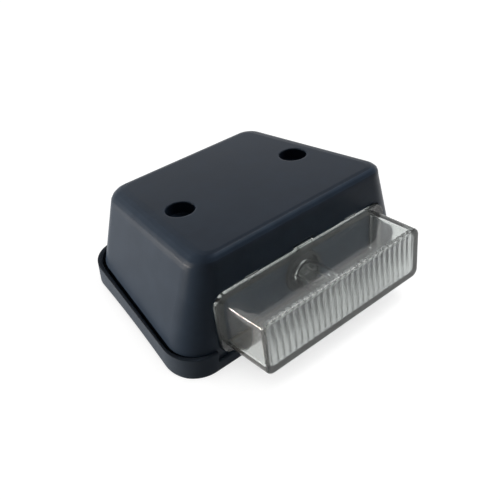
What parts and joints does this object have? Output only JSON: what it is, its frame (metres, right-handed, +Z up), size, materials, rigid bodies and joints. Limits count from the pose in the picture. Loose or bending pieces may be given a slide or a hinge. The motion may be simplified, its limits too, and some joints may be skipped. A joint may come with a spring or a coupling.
{
  "type": "roof marker light",
  "caption": "Wedge-shaped black roof marker light with a clear fluted box lens on its front, a capless bulb inside and counterbored fixing holes in its sloping top.",
  "frame": {"origin": "midway between the axes of the two fixing holes, on the plane the gasket rests on", "axes": "+Z up from the roof, -Y the way the lens faces, +X along the row of fixing holes"},
  "size_m": [0.1022, 0.0869, 0.0402],
  "materials": {
    "housing_plastic": "satin moulded black",
    "gasket_rubber": "matt black rubber",
    "lens_clear": "clear polished plastic",
    "seal_rubber": "matt black foam",
    "holder_rubber": "matt black rubber",
    "contact_brass": "rolled brass",
    "bulb_glass": "clear glass",
    "bulb_wire": "drawn wire"
  },
  "bodies": {
    "root": {"housing": "housing_plastic", "base_gasket": "gasket_rubber", "lens": "lens_clear", "lens_seal": "seal_rubber", "bulb_holder": "holder_rubber", "contact_upper": "contact_brass", "contact_lower": "contact_brass", "bulb_glass": "bulb_glass", "bulb_filament": "bulb_wire", "bulb_lead_upper": "bulb_wire", "bulb_lead_lower": "bulb_wire"}
  },
  "joints": []
}
